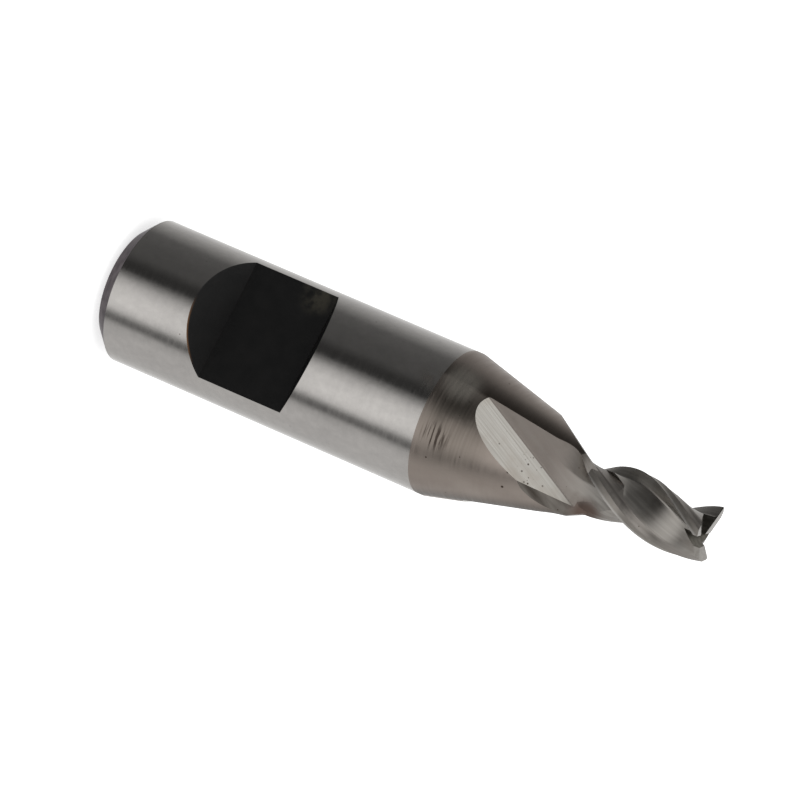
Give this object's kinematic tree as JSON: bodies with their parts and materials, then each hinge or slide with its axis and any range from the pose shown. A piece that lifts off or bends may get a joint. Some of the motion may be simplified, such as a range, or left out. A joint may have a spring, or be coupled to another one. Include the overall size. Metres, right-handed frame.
{
  "type": "endmill",
  "caption": "Small end mill with a round shank, a clamping flat, a cone-shaped neck and right-hand helical teeth.",
  "frame": {"origin": "centre of the shank's back face", "axes": "+Z along the tool's axis, from the back of the shank to the tip; +X is the outward normal of the clamping flat"},
  "size_m": [0.006, 0.006, 0.0264],
  "materials": {
    "tool_steel": "ground, with turned neck and ground flutes"
  },
  "bodies": {
    "root": {"end_mill": "tool_steel"}
  },
  "joints": []
}
